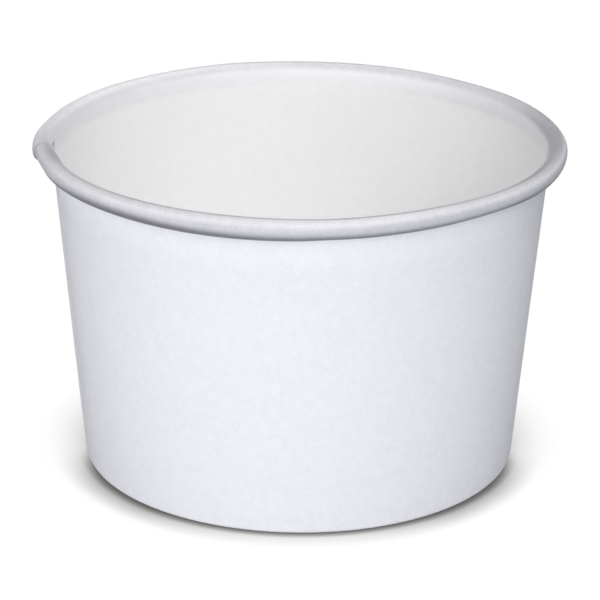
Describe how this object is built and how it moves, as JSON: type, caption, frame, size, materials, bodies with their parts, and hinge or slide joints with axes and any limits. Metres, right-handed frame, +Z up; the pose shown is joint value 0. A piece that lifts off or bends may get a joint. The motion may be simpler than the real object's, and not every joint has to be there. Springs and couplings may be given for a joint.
{
  "type": "paper sundae cup",
  "caption": "Low, wide disposable paper cup for a sundae: a tapered, lapped board wall with a rolled rim, on a recessed bottom disc clamped in a folded foot.",
  "frame": {"origin": "centre of the foot, on the table", "axes": "+Z up the cup's axis to the mouth; -Y towards the viewer of the picture; the side seam's edge lies at 188 degrees from +X, just in front of -X"},
  "size_m": [0.0965, 0.096, 0.0605],
  "materials": {
    "wall_board": "white board, matt outside and film-coated inside",
    "bottom_board": "white board, film-coated inside"
  },
  "bodies": {
    "root": {"sidewall": "wall_board", "bottom_disc": "bottom_board"}
  },
  "joints": []
}
